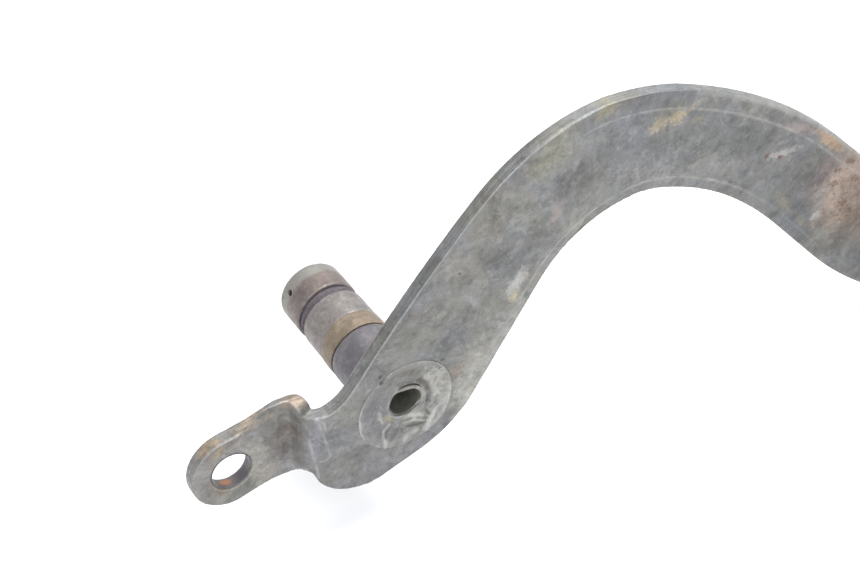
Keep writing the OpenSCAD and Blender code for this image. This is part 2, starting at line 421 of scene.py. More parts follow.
PLATE_STAINS = (
    # centre, radii, turn, raggedness, grain, strength and colour of each stain, the faint broad ones first
    ((-4, 0, -20), (24, 6, 9), 0.1, 1.2, 5.0, 0.6, (0.195, 0.193, 0.205)),
    ((24, 0, 2), (9, 6, 20), -0.5, 1.5, 3.0, 0.8, (0.33, 0.33, 0.305)),
    ((21.5, 0, -4), (4, 6, 6), -0.5, 1.5, 2.0, 0.6, (0.37, 0.36, 0.33)),
    ((8, 0, 24), (14, 6, 7), 0.7, 1.5, 3.0, 0.6, (0.185, 0.183, 0.165)),
    ((14, 0, 3.7), (3.5, 4, 3.5), 0.0, 1.6, 2.0, 0.6, (0.225, 0.185, 0.15)),
    ((62, 0, 58), (9, 6, 12), -0.4, 1.6, 5.0, 0.6, (0.190, 0.200, 0.218)),
    ((78, 0, 52), (20, 6, 8), -0.2, 1.2, 3.0, 0.5, (0.166, 0.170, 0.172)),
    ((84, 0, 41), (28, 6, 5.5), -0.25, 1.5, 5.0, 0.5, (0.222, 0.225, 0.220)),
    ((48, 0, 36), (20, 6, 4), 0.95, 1.5, 3.0, 0.5, (0.24, 0.245, 0.228)),
    ((100, 0, 42), (13, 6, 5.5), -0.35, 1.8, 3.0, 0.75, (0.135, 0.140, 0.136)),
    ((54, 0, 53), (12, 6, 6), 0.6, 1.8, 3.0, 0.65, (0.150, 0.150, 0.143)),
    ((61, 0, 68.5), (9, 6, 2.4), 0.2, 1.6, 2.0, 0.6, (0.15, 0.142, 0.128)),
    ((80, 0, 65), (17, 6, 2.8), -0.1, 1.5, 3.0, 0.7, (0.145, 0.153, 0.163)),
    ((101, 0, 57), (12, 6, 3.0), -0.35, 1.5, 3.0, 0.6, (0.140, 0.138, 0.134)),
    ((124, 0, 6), (13, 6, 6), -0.9, 1.7, 3.0, 0.7, (0.135, 0.140, 0.152)),
    ((112, 0, 24), (9, 6, 7), -0.7, 1.6, 3.0, 0.5, (0.155, 0.158, 0.163)),
    ((40, 0, 61), (10, 6, 5), 0.8, 1.9, 2.0, 0.6, (0.255, 0.250, 0.185)),
    ((55, 0, 67.5), (4, 6, 2), 0.3, 1.8, 2.0, 0.6, (0.27, 0.25, 0.16)),
    ((75.4, 2.0, 68.6), (1.3, 1.6, 0.9), 0.0, 1.5, 1.0, 0.8, (0.06, 0.055, 0.05)),
    ((57.8, 1.8, 71.0), (1.2, 1.6, 0.9), 0.0, 1.5, 1.0, 0.6, (0.08, 0.07, 0.06)),
    ((44.5, 0, 48.4), (3.4, 4, 3.8), 0.0, 1.2, 2.0, 0.8, (0.125, 0.117, 0.118)),
    ((26, 0, 36), (4, 4, 7), 0.9, 1.8, 2.0, 0.7, (0.135, 0.137, 0.130)),
    ((42.3, 0, 42.1), (1.6, 3, 4.2), -0.5, 1.6, 2.0, 0.5, (0.29, 0.235, 0.228)),
    ((31.7, 0, 25.1), (2.6, 3, 5.0), -0.6, 2.0, 2.0, 0.8, (0.42, 0.415, 0.40)),
    ((31, 0, 21), (1.6, 3, 2.2), 0.0, 2.2, 1.0, 0.6, (0.36, 0.32, 0.20)),
    ((72, 0, 57.6), (3.4, 3, 2.4), 0.3, 3.4, 1.0, 0.75, (0.37, 0.315, 0.215)),
    ((77.4, 0, 57.8), (2.6, 3, 2.8), 0.7, 3.4, 1.0, 0.75, (0.37, 0.310, 0.205)),
    ((81.5, 0, 58.8), (3.2, 3, 1.2), 0.45, 3.0, 1.0, 0.6, (0.35, 0.305, 0.22)),
    ((84, 0, 54.7), (2.0, 3, 1.2), 0.0, 3.0, 1.0, 0.5, (0.33, 0.295, 0.21)),
    ((146, 0, 9), (19, 6, 15), -0.9, 1.0, 5.0, 0.95, (0.40, 0.315, 0.262)),
    ((152, 0, -4), (14, 6, 9), -0.9, 1.3, 3.0, 0.4, (0.28, 0.235, 0.195)),
    ((131, 0, 19), (4, 5, 8), -0.5, 1.9, 2.0, 0.6, (0.235, 0.185, 0.185)),
    ((133, 0, 29.6), (9, 5, 2.1), -0.74, 1.4, 2.0, 0.9, (0.40, 0.29, 0.20)),
    ((121.5, 0, 38.0), (7, 5, 1.8), -0.5, 1.8, 2.0, 0.6, (0.34, 0.28, 0.26)),
    ((115.5, 0, 32.6), (6.5, 4, 1.3), -0.05, 2.2, 1.0, 0.8, (0.38, 0.36, 0.36)),
    ((109.9, 0, 33.4), (0.9, 2, 0.9), 0.0, 1.6, 1.0, 0.8, (0.16, 0.095, 0.085)),
    ((114.8, 0, 31.3), (1.2, 2, 0.9), 0.0, 1.6, 1.0, 0.8, (0.17, 0.10, 0.085)),
    ((119, 0, 14.5), (5, 4, 1.7), -0.95, 3.0, 1.0, 0.6, (0.28, 0.255, 0.19)),
    ((126.5, 0, 5.5), (4, 4, 1.5), -0.9, 3.0, 1.0, 0.5, (0.24, 0.225, 0.17)),
    ((132, 0, 4.6), (2.4, 3, 1.8), 0.0, 2.2, 1.0, 0.7, (0.40, 0.395, 0.39)),
    ((-45, 8, -4), (15, 7, 9), 0.3, 1.4, 3.0, 0.7, (0.292, 0.274, 0.250)),
    ((-31, 5, -1), (6.0, 8, 10), 0.15, 1.6, 3.0, 0.6, (0.196, 0.181, 0.170)),
    ((-30, 5, 1), (3.5, 6, 2.8), 0.0, 2.2, 1.0, 0.6, (0.130, 0.110, 0.098)),
    ((-31.5, 5, -5.5), (2.4, 6, 2.6), 0.0, 2.2, 1.0, 0.5, (0.130, 0.110, 0.098)),
    ((-38, 7, -4), (3.0, 3, 3.4), 0.4, 2.0, 1.0, 0.7, (0.33, 0.32, 0.285)),
    ((-36, 7, -10.8), (4.4, 3, 3.2), 0.5, 2.0, 1.0, 0.8, (0.32, 0.30, 0.265)),
    ((-29.5, 5, -11.5), (4, 6, 2), 0.1, 1.8, 2.0, 0.6, (0.29, 0.29, 0.30)),
    ((-25.2, 1, -2), (2.2, 4, 9), -0.10, 1.3, 2.0, 0.7, (0.245, 0.240, 0.268)),
    ((-50, 9, 5.4), (9, 3.2, 2.6), 0.50, 1.1, 2.0, 0.95, (0.42, 0.325, 0.215)),
    ((-39, 9, 6.6), (7, 3.2, 1.7), 0.14, 1.3, 2.0, 0.90, (0.38, 0.315, 0.245)),
    ((-27, 7, 9.6), (4.6, 3.6, 1.6), 0.0, 1.3, 2.0, 0.80, (0.33, 0.255, 0.195)),
    ((-48, 6.8, 2.2), (3.4, 1.4, 1.4), 0.5, 2.2, 1.0, 0.7, (0.30, 0.25, 0.17)),
    ((-47.5, 7.4, -10.2), (3.8, 3, 2.2), 0.0, 1.8, 1.0, 0.8, (0.155, 0.130, 0.085)),
    ((-52.5, 7.4, -8), (2.0, 3, 5), 0.2, 1.5, 2.0, 0.5, (0.150, 0.147, 0.150)),
    ((-39.5, 7.4, -8.6), (2.0, 3, 3.4), 0.3, 1.8, 1.0, 0.8, (0.36, 0.345, 0.30)),
    ((-44, 7.4, 3.6), (4.0, 2, 1.2), 0.45, 1.6, 1.0, 0.6, (0.150, 0.138, 0.120)),
)


RUST_SPOTS = (
    # centre and radii of each dark spot in the rusty end
    ((141.8, 0, 5.4), (2.4, 3, 1.6)),
    ((145.4, 0, 12.7), (3.0, 3, 1.2)),
    ((137.1, 0, 13.9), (1.6, 3, 1.2)),
    ((137.7, 0, 18.1), (2.2, 3, 0.9)),
    ((141.6, 0, 20.0), (2.4, 3, 0.9)),
    ((145.0, 0, 1.3), (1.8, 3, 1.2)),
)


def plated_plate():
    look = Look("plated_plate")
    hue = look.noise(14, 1.0, 5.0, 0.6)
    colour = look.mix(look.between(hue, 0.38, 0.60), (0.203, 0.201, 0.184), (0.190, 0.193, 0.196))
    for centre, radii, turn, ragged, grain, strength, tint in PLATE_STAINS:
        colour = look.paint(colour, look.spot(centre, radii, turn, 0.75 * ragged, grain), strength, tint)
    colour, height, oxide = weather(look, colour, 10.0)
    rust = look.spot((147, 0, 8), (17, 6, 15), -0.9, 1.0, 5.0)
    eaten = look.between(look.noise(2.4, 55.0, 7.0, 0.78, distortion=0.8), 0.53, 0.60)
    rust = look.math("MULTIPLY", rust, eaten)
    crumbled = look.between(look.noise(0.8, 57.0, 6.0, 0.8), 0.40, 0.54, 0.25, 1.0)
    for centre, radii in RUST_SPOTS:
        spot = look.math("MULTIPLY", look.spot(centre, radii, -0.5, 2.2, 1.0, soft=0.5), crumbled)
        rust = look.math("MAXIMUM", rust, spot)
    colour = look.paint(colour, rust, 0.8, (0.150, 0.088, 0.062))
    # lines left by the shears run along the cut edges
    shear = look.noise(1.0, 61.0, 3.0, 0.6, vector=look.scaled(look.mm, (0.04, 1.9, 0.04)))
    cut = look.attribute("cut")
    streaks = look.math("MULTIPLY", look.math("SUBTRACT", shear, 0.5), cut)
    colour = look.shade(colour, look.math("ADD", look.math("MULTIPLY", streaks, 1.4), 1.0))
    # painted highlight: the faces that look up and a soft band under the top edge are painted paler, with some
    # rubbing
    uneven = look.between(look.noise(5.0, 44.0, 6.0), 0.3, 0.6, 0.45, 1.0)
    rubbed_and_lit = look.math("MULTIPLY", look.attribute("rubbed_and_lit"), uneven)
    colour = look.paint(colour, rubbed_and_lit, 0.85, (0.47, 0.47, 0.455))
    for seed, turn in ((31.0, 0.65), (34.0, -0.75), (37.0, 0.2)):
        lines = scratches(look, seed, turn)
        colour = look.paint(colour, lines, 0.28, (0.40, 0.40, 0.385))
    # the ridges and the top edge are painted pale, partly as painted highlight, the hollows are painted darker,
    # and the corners that stand out, most of all those facing up, are painted bright as wear and as painted
    # highlight
    broken = look.between(look.noise(3.0, 43.0, 5.0), 0.35, 0.6, 0.3, 1.0)
    crest_and_highlight = look.math("MULTIPLY", look.attribute("crest_and_highlight"), broken)
    colour = look.paint(colour, crest_and_highlight, 0.7, (0.42, 0.42, 0.40))
    wear_and_sheen = look.attribute("wear_and_sheen")
    hollow = look.between(wear_and_sheen, -0.01, -0.07)
    colour = look.paint(colour, hollow, 0.5, (0.085, 0.078, 0.068))
    patchy = look.between(look.noise(4.0, 41.0, 5.0, 0.65), 0.36, 0.62, 0.3, 1.0)
    bright = look.math("MULTIPLY", look.between(wear_and_sheen, 0.025, 0.075), patchy)
    colour = look.paint(colour, bright, 0.75, (0.46, 0.455, 0.47))
    # painted shade: the eye's bore is painted dark all through
    eye_wall_shade = look.spot((eye_at.x, eye_at.y, eye_at.z), (5.6, 40, 5.6), 0.0, 0.05, 1.0, soft=0.06)
    colour = look.paint(colour, eye_wall_shade, 0.75, (0.115, 0.105, 0.120))
    fleck_at = (eye_at.x - 1.6, eye_at.y + 0.2, eye_at.z - 5.2)
    orange = look.spot(fleck_at, (2.4, 1.2, 1.2), 0.0, 1.1, 1.0, soft=0.7)
    colour = look.paint(colour, orange, 0.70, (0.42, 0.19, 0.085))
    rough = look.between(look.noise(2.2, 71.0, 4.0), 0.3, 0.7, 0.40, 0.62)
    rough = look.math("SUBTRACT", rough, look.math("MULTIPLY", bright, 0.10))
    rough = look.math("ADD", rough, look.math("MULTIPLY", oxide, 0.12))
    return look.finish(colour, rough, 0.40, look.bump(height, 0.05))


def turned_steel(name, tone, seed, rings=True):
    """Steel turned on a lathe about Y, then weathered."""
    look = Look(name)
    hue = look.noise(4, seed + 20, 3.0)
    colour = look.mix(look.between(hue, 0.35, 0.65), [c * 0.88 for c in tone], [c * 1.08 for c in tone])
    colour, height, _ = weather(look, colour, seed, 0.6)
    if rings:
        lathe = look.noise(1.0, seed + 9, 2.0, vector=look.scaled(look.mm, (0.02, 5.0, 0.02)))
        height = look.math("ADD", height, look.math("MULTIPLY", lathe, 0.35))
        colour = look.paint(colour, look.between(lathe, 0.3, 0.7), 0.12, [c * 1.5 for c in tone])
    # the hollows are painted darker, and the corners that stand out lighter, as wear and as painted highlight
    wear_and_sheen = look.attribute("wear_and_sheen")
    colour = look.paint(colour, look.between(wear_and_sheen, -0.01, -0.08), 0.65, (0.07, 0.055, 0.042))
    patchy = look.between(look.noise(2.5, seed + 21, 4.0, 0.65), 0.38, 0.62)
    bright = look.math("MULTIPLY", look.between(wear_and_sheen, 0.04, 0.12), patchy)
    colour = look.paint(colour, bright, 0.35, [min(0.55, c * 2.0) for c in tone])
    rough = look.between(look.noise(1.8, seed + 12, 3.0), 0.3, 0.7, 0.38, 0.58)
    return look, colour, height, rough


def simple_steel(name, tone, seed, metallic=0.6, rings=True):
    look, colour, height, rough = turned_steel(name, tone, seed, rings)
    return look.finish(colour, rough, metallic, look.bump(height, 0.06))


HEAD_STAINS = (
    # centre, radii, turn, raggedness, grain, strength and colour of each stain on the journal's head
    ((-8, 0, -1), (6, 3, 11), 0.25, 1.2, 2.0, 0.70, (0.190, 0.188, 0.202)),
    ((8.5, 0, 1), (4.5, 3, 8.5), 0.15, 1.3, 2.0, 0.80, (0.345, 0.345, 0.320)),
    ((1, 0, 9.6), (6, 3, 1.5), -0.1, 1.5, 1.0, 0.55, (0.140, 0.140, 0.132)),
    ((-3.9, 0, -8.9), (3.0, 2, 2.0), -0.5, 0.9, 1.0, 0.50, (0.185, 0.183, 0.200)),
    ((2.8, 0, -6.5), (3.4, 2, 1.3), -0.3, 1.6, 1.0, 0.75, (0.36, 0.355, 0.325)),
    ((4.6, 0, -8.9), (2.8, 2, 0.5), 0.12, 1.2, 1.0, 0.70, (0.105, 0.102, 0.100)),
    ((-4.9, 0, -3.7), (2.6, 2, 1.1), -0.80, 1.5, 1.0, 0.65, (0.30, 0.265, 0.170)),
    ((-7.3, 0, -1.9), (0.8, 2, 2.6), 0.25, 1.8, 1.0, 0.75, (0.42, 0.415, 0.39)),
    # a painted shadow: the dark crescent in the gap right of the bore
    ((6.6, 0, 0.6), (1.0, 2, 3.2), 0.30, 0.8, 1.0, 0.75, (0.085, 0.078, 0.082)),
    # a painted highlight: the pale crescent low on the head's right
    ((7.6, 0, -8.2), (0.8, 2, 5.5), -0.70, 1.2, 1.0, 0.85, (0.42, 0.42, 0.40)),
    ((-12.8, 0, -3.0), (1.3, 2, 9), 0.0, 1.3, 1.0, 0.70, (0.195, 0.193, 0.198)),
)


def journal_steel():
    look, colour, height, rough = turned_steel("journal_steel", (0.238, 0.217, 0.205), 100.0)
    y = look.axis("Y")
    # the band past the seal is darker and pinkish, the tip's rim is pale, and the collar is painted dark and
    # purplish, as painted shade
    pinkish = look.mix(1.0, colour, (0.80, 0.73, 0.72), "MULTIPLY")
    colour = look.mix(look.between(y, 39.9, 40.6), colour, pinkish)
    edge = look.math("ADD", y, look.math("MULTIPLY", look.ragged(2.0), 2.0))
    colour = look.paint(colour, look.between(edge, 45.6, 46.8), 0.75, (0.285, 0.280, 0.258))
    speckle = look.between(look.noise(0.9, 131.0, 5.0, 0.75), 0.50, 0.60)
    land = look.math("MULTIPLY", look.between(y, 27.4, 27.8), look.between(y, 37.2, 36.8))
    colour = look.paint(colour, look.math("MULTIPLY", speckle, land), 0.35, (0.32, 0.295, 0.275))
    collar = look.math("MULTIPLY", look.between(y, 9.5, 13.5), look.between(y, 24.0, 23.4))
    colour = look.paint(colour, collar, 0.80, (0.128, 0.122, 0.138))
    patch = look.math("MULTIPLY", collar, look.between(look.noise(3.0, 132.0, 6.0, 0.7), 0.46, 0.62))
    colour = look.paint(colour, patch, 0.65, (0.235, 0.215, 0.225))
    head = look.between(y, 5.0, 3.6)
    grey = (0.222, 0.222, 0.210)
    for centre, radii, turn, ragged, grain, strength, tint in HEAD_STAINS:
        grey = look.paint(grey, look.spot(centre, radii, turn, ragged, grain), strength, tint)
    grey, relief, _ = weather(look, grey, 140.0, 0.8)
    # the head's hollows are painted darker, and its corners that stand out lighter, as wear and as painted
    # highlight
    hollow = look.between(look.attribute("wear_and_sheen"), -0.01, -0.09)
    grey = look.paint(grey, hollow, 0.5, (0.085, 0.078, 0.068))
    patchy = look.between(look.noise(2.6, 133.0, 5.0, 0.65), 0.38, 0.62)
    bright = look.math("MULTIPLY", look.between(look.attribute("wear_and_sheen"), 0.02, 0.09), patchy)
    grey = look.paint(grey, bright, 0.35, (0.42, 0.42, 0.405))
    # its raised lines are painted pale, partly as painted highlight, and its grooves dark, partly as painted
    # shadow in the gap beside the sleeve
    broken = look.between(look.noise(1.6, 134.0, 6.0, 0.7), 0.36, 0.58, 0.3, 1.0)
    rubbed_and_lit = look.math("MULTIPLY", look.attribute("rubbed_and_lit"), broken)
    grey = look.paint(grey, rubbed_and_lit, 0.75, (0.45, 0.45, 0.43))
    dirt_and_shadow = look.math("MULTIPLY", look.attribute("dirt_and_shadow"), broken)
    grey = look.paint(grey, dirt_and_shadow, 0.70, (0.085, 0.080, 0.080))
    colour = look.mix(head, colour, grey)
    return look.finish(colour, rough, 0.40, look.bump(look.mix(head, height, relief), 0.09))


def sleeve_steel():
    look, colour, height, rough = turned_steel("sleeve_steel", (0.255, 0.250, 0.225), 200.0)
    # painted shade: the bore is painted darker further in
    bore_depth_shade = look.between(look.axis("Y"), 2.0, 14.0)
    colour = look.paint(colour, bore_depth_shade, 0.65, (0.19, 0.18, 0.15))
    return look.finish(colour, rough, 0.6, look.bump(height, 0.06))


def rubber(name, tone, seed):
    look = Look(name)
    mottled = look.noise(1.4, seed, 4.0, 0.65)
    colour = look.mix(look.between(mottled, 0.3, 0.75), [c * 0.8 for c in tone], [c * 1.5 for c in tone])
    dust = look.math(
        "MULTIPLY",
        look.between(look.noise(0.9, seed + 1, 5.0, 0.75), 0.5, 0.75),
        look.between(look.noise(8, seed + 2), 0.4, 0.65),
    )
    colour = look.paint(colour, dust, 0.3, (0.16, 0.145, 0.125))
    # the corners that stand out are painted lighter, as wear and as painted highlight
    colour = look.paint(colour, look.between(look.attribute("wear_and_sheen"), 0.02, 0.12), 0.35, (0.14, 0.14, 0.145))
    rough = look.between(look.noise(1.1, seed + 3, 3.0), 0.3, 0.7, 0.55, 0.78)
    height = look.math("ADD", look.noise(0.18, seed + 4, 2.0), look.math("MULTIPLY", mottled, 0.6))
    return look.finish(colour, rough, 0.0, look.bump(height, 0.05), specular=0.35)


# ---- The arm --------------------------------------------------------------------------------------


def outline_edges():
    """The edges of the arm's outer face, as (x, z, x, z) rows for the upper and for the lower side."""
    work = bmesh.new()
    work.from_mesh(nodes["lever_arm"].data)
    bmesh.ops.remove_doubles(work, verts=work.verts, dist=weld_gap * MM)
    head_r = box_mm("pivot_journal")[1].x
    upper, lower = [], []
    for edge in work.edges:
        facing = [f for f in edge.link_faces if f.normal.y < -0.99]
        others = [f for f in edge.link_faces if abs(f.normal.y) < 0.1]
        a, b = (v.co / MM for v in edge.verts)
        middle = (a + b) / 2
        if len(facing) != 1 or len(others) != 1 or math.hypot(middle.x, middle.z) < head_r + 0.5:
            continue
        (upper if others[0].normal.z > 0 else lower).append((a.x, a.z, b.x, b.z))
    work.free()
    return np.array(upper), np.array(lower)


def distance_to(edges, x, z):
    best = np.full(len(x), 1e9)
    for ax, az, bx, bz in edges:
        best = np.minimum(best, segment_distance(x, z, (ax, az), (bx, bz)))
    return best


def polyline_distance(x, z, route):
    return np.min([segment_distance(x, z, start, end) for start, end in zip(route, route[1:])], axis=0)


# rubbed lines over the bend, painted pale partly as painted highlight: the points of each, in X and Z
BEND_LINES = (
    ((-25.6, 7.4), (-24.3, 5.1), (-23.2, 0.3), (-21.8, -6.7), (-22.9, -7.6), (-24.5, -7.9)),
    ((-26.5, -0.2), (-26.0, -5.7), (-25.4, -10.0), (-25.0, -13.6)),
    ((-24.6, 6.6), (-23.0, 5.0), (-22.8, 2.5)),
    ((-53.3, -1.5), (-53.4, -4.5), (-52.2, -8.5)),
)


def arm_relief(x, z):
    """How far the arm's outer face stands out, in millimetres, how pale its ridges and its top edge are painted,
    the top edge as a painted highlight, and how bright the band under that edge is painted, a painted highlight
    too."""
    upper, lower = outline_edges()
    from_top = distance_to(upper, x, z)
    from_bottom = distance_to(lower, x, z)
    margin_top = 4.9
    margin_bottom = 3.2
    top_on = step_up(x, 34, 62)
    bottom_on = step_up(x, 16, 40)
    out = -0.12 * top_on * np.clip(1 - from_top / margin_top, 0, 1)
    out -= 0.12 * bottom_on * np.clip(1 - from_bottom / margin_bottom, 0, 1)
    ridges = 0.7 * top_on * ridge(from_top - margin_top, 0.30)
    ridges += (0.75 - 0.5 * step_up(x, 92, 116)) * bottom_on * ridge(from_bottom - margin_bottom, 0.32)
    for route in BEND_LINES:
        ridges += 0.85 * ridge(polyline_distance(x, z, route), 0.32)
    waves = np.sin(x * 0.21 + 1.0) * np.sin(z * 0.27) + 0.6 * np.sin(x * 0.47 + z * 0.39 + 2.0)
    # painted highlight: the top edge is painted bright in a thin line, and beyond the apex in a soft band too
    worn = np.maximum(step_up(x, -25, -20) * step_up(-x, -60, -38), step_up(x, 80, 100))
    edge = 0.9 * ridge(from_top - 0.15, 0.30) * worn
    rubbed_and_lit = 0.5 * ridge(from_top - 0.7, 0.60) * step_up(x, 76, 98)
    return out + 0.12 * ridges + 0.05 * waves, np.maximum(ridges, edge), rubbed_and_lit


ARM_NICKS = (
    # centre, radius, depth and direction of each pit and nick
    ((15.2, 0, 35.2), 0.75, 0.45, (0, 1, 0)),
    ((109.8, 0, 33.4), 0.8, 0.35, (0, 1, 0)),
    ((114.6, 0, 31.5), 0.8, 0.35, (0, 1, 0)),
    ((131.0, 0, 16.0), 0.6, 0.25, (0, 1, 0)),
    ((75.4, 2.2, 68.6), 1.0, 0.55, (0, 0.3, -1)),
    ((72.9, 1.4, 69.0), 0.6, 0.35, (0, 0.3, -1)),
    ((58.0, 2.0, 71.0), 0.8, 0.40, (0, 0.3, -1)),
    ((-7.2, 0, 12.4), 0.9, 0.60, (0, 1, 0)),
    ((10.4, 0, 9.6), 0.8, 0.45, (0, 1, 0)),
    ((128.6, 0, -4.2), 1.8, 0.55, (0.5, 0.4, 0.7)),
)


def make_arm(material):
    piece = dense_copy("lever_arm", "arm_plate", 0.31, 5)
    points = positions(piece.data)
    normal = normals(piece.data)
    facing = -normal[:, 1]
    chosen = (facing > 0.15) & (points[:, 1] < 2.5)
    strength = step_up(facing[chosen], 0.15, 0.85)
    out, ridges, rubbed_and_lit = arm_relief(points[chosen, 0], points[chosen, 2])
    points[chosen, 1] -= out * strength
    # the ridges are painted pale, and the top edge with them as a painted highlight
    crest_and_highlight = np.zeros(len(points))
    crest_and_highlight[chosen] = np.clip(ridges * strength, 0, 1)
    add_attribute(piece.data, "crest_and_highlight", crest_and_highlight)
    add_attribute(piece.data, "cut", step_up(-np.abs(facing), -0.6, -0.3))
    # painted highlight: faces that look up are painted a little paler, and so is the band under the top edge
    top = 0.12 * step_up(normal[:, 2], 0.74, 0.93) * step_up(points[:, 0], 30, 55)
    top[chosen] = np.maximum(top[chosen], rubbed_and_lit * step_up(facing[chosen], 0.15, 0.5))
    add_attribute(piece.data, "rubbed_and_lit", top)
    # the face is worn down a little round the eye, by what was clamped there
    from_eye = np.hypot(points[:, 0] - eye_at.x, points[:, 2] - eye_at.z)
    lug = (points[:, 0] < -34) & (facing > 0.5)
    points[lug, 1] += 0.10 * step_up(-from_eye[lug], -8.4, -7.2)
    points[lug, 1] += 0.45 * ramp_down(from_eye[lug] - 5.2, 0.9)
    for centre, radius, depth, direction in ARM_NICKS:
        points = dent(points, centre, radius, depth, direction)
    set_positions(piece.data, points)
    return finish_piece(piece, material, "lever", ["lever_arm"], spread=2)


# ---- The pivot journal and what is on it ----------------------------------------------------------


# lines on the staked head: the points of each in X and Z, its half width and its height, below 0 for grooves
HEAD_LINES = (
    (
        (
            (-4.7, 12.5), (-7.8, 11.0), (-10.0, 8.7), (-12.0, 5.4),
            (-12.9, 1.4), (-12.4, -3.6), (-10.7, -8.4), (-8.2, -11),
        ),
        0.28,
        0.08,
    ),
    # a painted highlight: the bright crescent ridge round the head's right side, painted pale as a rubbed line
    (((12.4, 1.0), (12.1, -2.6), (11.3, -5.8), (10.0, -8.4), (7.4, -11.0)), 0.75, 0.26),
    (((-4.8, -5.6), (-6.4, -6.9), (-6.8, -8.8), (-6.0, -11.2)), 0.42, 0.24),
    (((0.8, -5.6), (3.2, -5.9), (4.9, -7.2)), 0.50, 0.28),
    (((-0.6, -7.1), (2.6, -7.8), (5.2, -9.2)), 0.45, 0.24),
    (((6.6, -9.6), (5.4, -11.4)), 0.50, 0.32),
    (((2.8, -10.9), (0.8, -11.2), (-0.8, -12.0)), 0.60, 0.30),
    (((0.4, -9.0), (3.2, -9.8), (5.4, -9.6)), 0.34, -0.26),
    # a painted shadow: the dark gap right of the bore, painted dark as a groove
    (((4.4, 5.1), (6.3, 2.4), (7.3, -0.8), (6.8, -3.2)), 0.80, -0.70),
    (((6.6, -3.8), (5.9, -5.6), (6.9, -7.8)), 0.45, -0.20),
)


def head_face(x, z):
    """How far the staked head's face lies behind the arm's, in millimetres, and its rubbed lines, painted pale
    partly as painted highlight, and its grooves, painted dark partly as painted shadow.
    X and Z are measured from the pivot axis."""
    radius = np.hypot(x, z)
    face = 0.05 + 0.72 * step_up(-radius, -12.3, -9.0)
    face -= 0.10 * ridge(radius - 7.6, 0.9)
    # metal swaged up below the bore: an oval hollow, and ridges beside it
    along = segment_distance(x, z, (-4.4, -9.0), (-2.0, -10.0))
    face += 0.14 * step_up(-along, -2.0, -1.2)
    rubbed_and_lit, dirt_and_shadow = np.zeros(len(x)), np.zeros(len(x))
    for route, width, height in HEAD_LINES:
        line = ridge(polyline_distance(x, z, route), width)
        face -= height * line
        if height > 0:
            rubbed_and_lit = np.maximum(rubbed_and_lit, line)
        else:
            dirt_and_shadow = np.maximum(dirt_and_shadow, line)
    hammered = np.sin(1.1 * x + 0.5 * z) * np.sin(0.9 * z - 0.4 * x + 1) + 0.6 * np.sin(2.3 * x - 1.7 * z)
    return face + 0.06 * hammered * step_up(-radius, -13, -11), rubbed_and_lit, dirt_and_shadow


def covered(points):
    """1 where the head is swaged in over the sleeve, 0 at the upper front, where the sleeve shows."""
    angle = np.degrees(np.arctan2(points[:, 2], points[:, 0]))
    return 1 - step_up(angle, -50, 5) * step_up(-angle, -140, -85)


HEAD_NICKS = (
    # centre, radius and depth of each pit in the head's edge
    ((-6.8, 0.2, 10.2), 1.1, 0.9),
    ((-6.1, 0.2, 11.2), 1.0, 0.9),
    ((9.0, 0.2, 8.0), 0.8, 0.6),
    ((9.8, 0.2, 7.2), 0.8, 0.6),
)


TIP_NICKS = (
    # a chip beside the oil hole, and small knocks on the tip's rim and on the land
    ((-8.4, 49.0, 2.4), 1.1, 0.40),
    ((2.0, 50.1, 8.2), 0.9, 0.25),
    ((-4.4, 36.9, 7.8), 0.6, 0.25),
)


def make_journal(material):
    piece = dense_copy("pivot_journal", "journal", 0.26, 4)
    points = positions(piece.data)
    radius = np.hypot(points[:, 0], points[:, 2])
    front = (points[:, 1] < 2.4) & (normals(piece.data)[:, 1] < -0.3) & (radius > 5.3)
    target, rubbed_and_lit, dirt_and_shadow = head_face(points[front, 0], points[front, 2])
    points[front, 1] = target
    # the raised lines are painted pale, partly as painted highlight, and the grooves dark, partly as painted
    # shadow
    for name, values in (("rubbed_and_lit", rubbed_and_lit), ("dirt_and_shadow", dirt_and_shadow)):
        whole = np.zeros(len(points))
        whole[front] = values
        add_attribute(piece.data, name, whole)
    # the head's rim is rolled over the edge of the plate, further below and behind than above
    head_r = 13
    rim = (points[:, 1] < 1.4) & (radius > head_r - 1.2)
    angle = np.arctan2(points[rim, 2], points[rim, 0])
    rolled = step_up(radius[rim], head_r - 1.2, head_r - 0.2)
    over = np.maximum(0.14, 0.45 + 0.70 * np.cos(angle - math.radians(245)))
    points[rim, 0] *= 1 + rolled * over / head_r
    points[rim, 2] *= 1 + rolled * over / head_r
    lip = step_up(radius[rim], 11.8, 12.3) * (1 - 0.45 * step_up(radius[rim], 12.4, 13.0))
    points[rim, 1] -= (0.10 + 0.02 * np.sin(5 * angle)) * lip * step_up(-points[rim, 1], -1.2, -0.4)
    # round most of the bore its inner edge is swaged over the sleeve
    sleeve_r = 5.2
    swaged = 0.80
    inner = (radius < 7.0) & (points[:, 1] < 2.4)
    pull = covered(points[inner]) * ramp_down(radius[inner] - sleeve_r, 1.5)
    pull *= step_up(-points[inner, 1], -2.2, -1.2)
    points[inner, 0] *= 1 - swaged * pull / sleeve_r
    points[inner, 2] *= 1 - swaged * pull / sleeve_r
    for centre, size, depth in HEAD_NICKS:
        points = dent(points, centre, size, depth, (0, 1, 0))
    for centre, size, depth in TIP_NICKS:
        inward = -np.array([centre[0], 0, centre[2]]) / math.hypot(centre[0], centre[2])
        points = dent(points, centre, size, depth, inward)
    set_positions(piece.data, points)
    return finish_piece(piece, material, "lever", ["pivot_journal"])


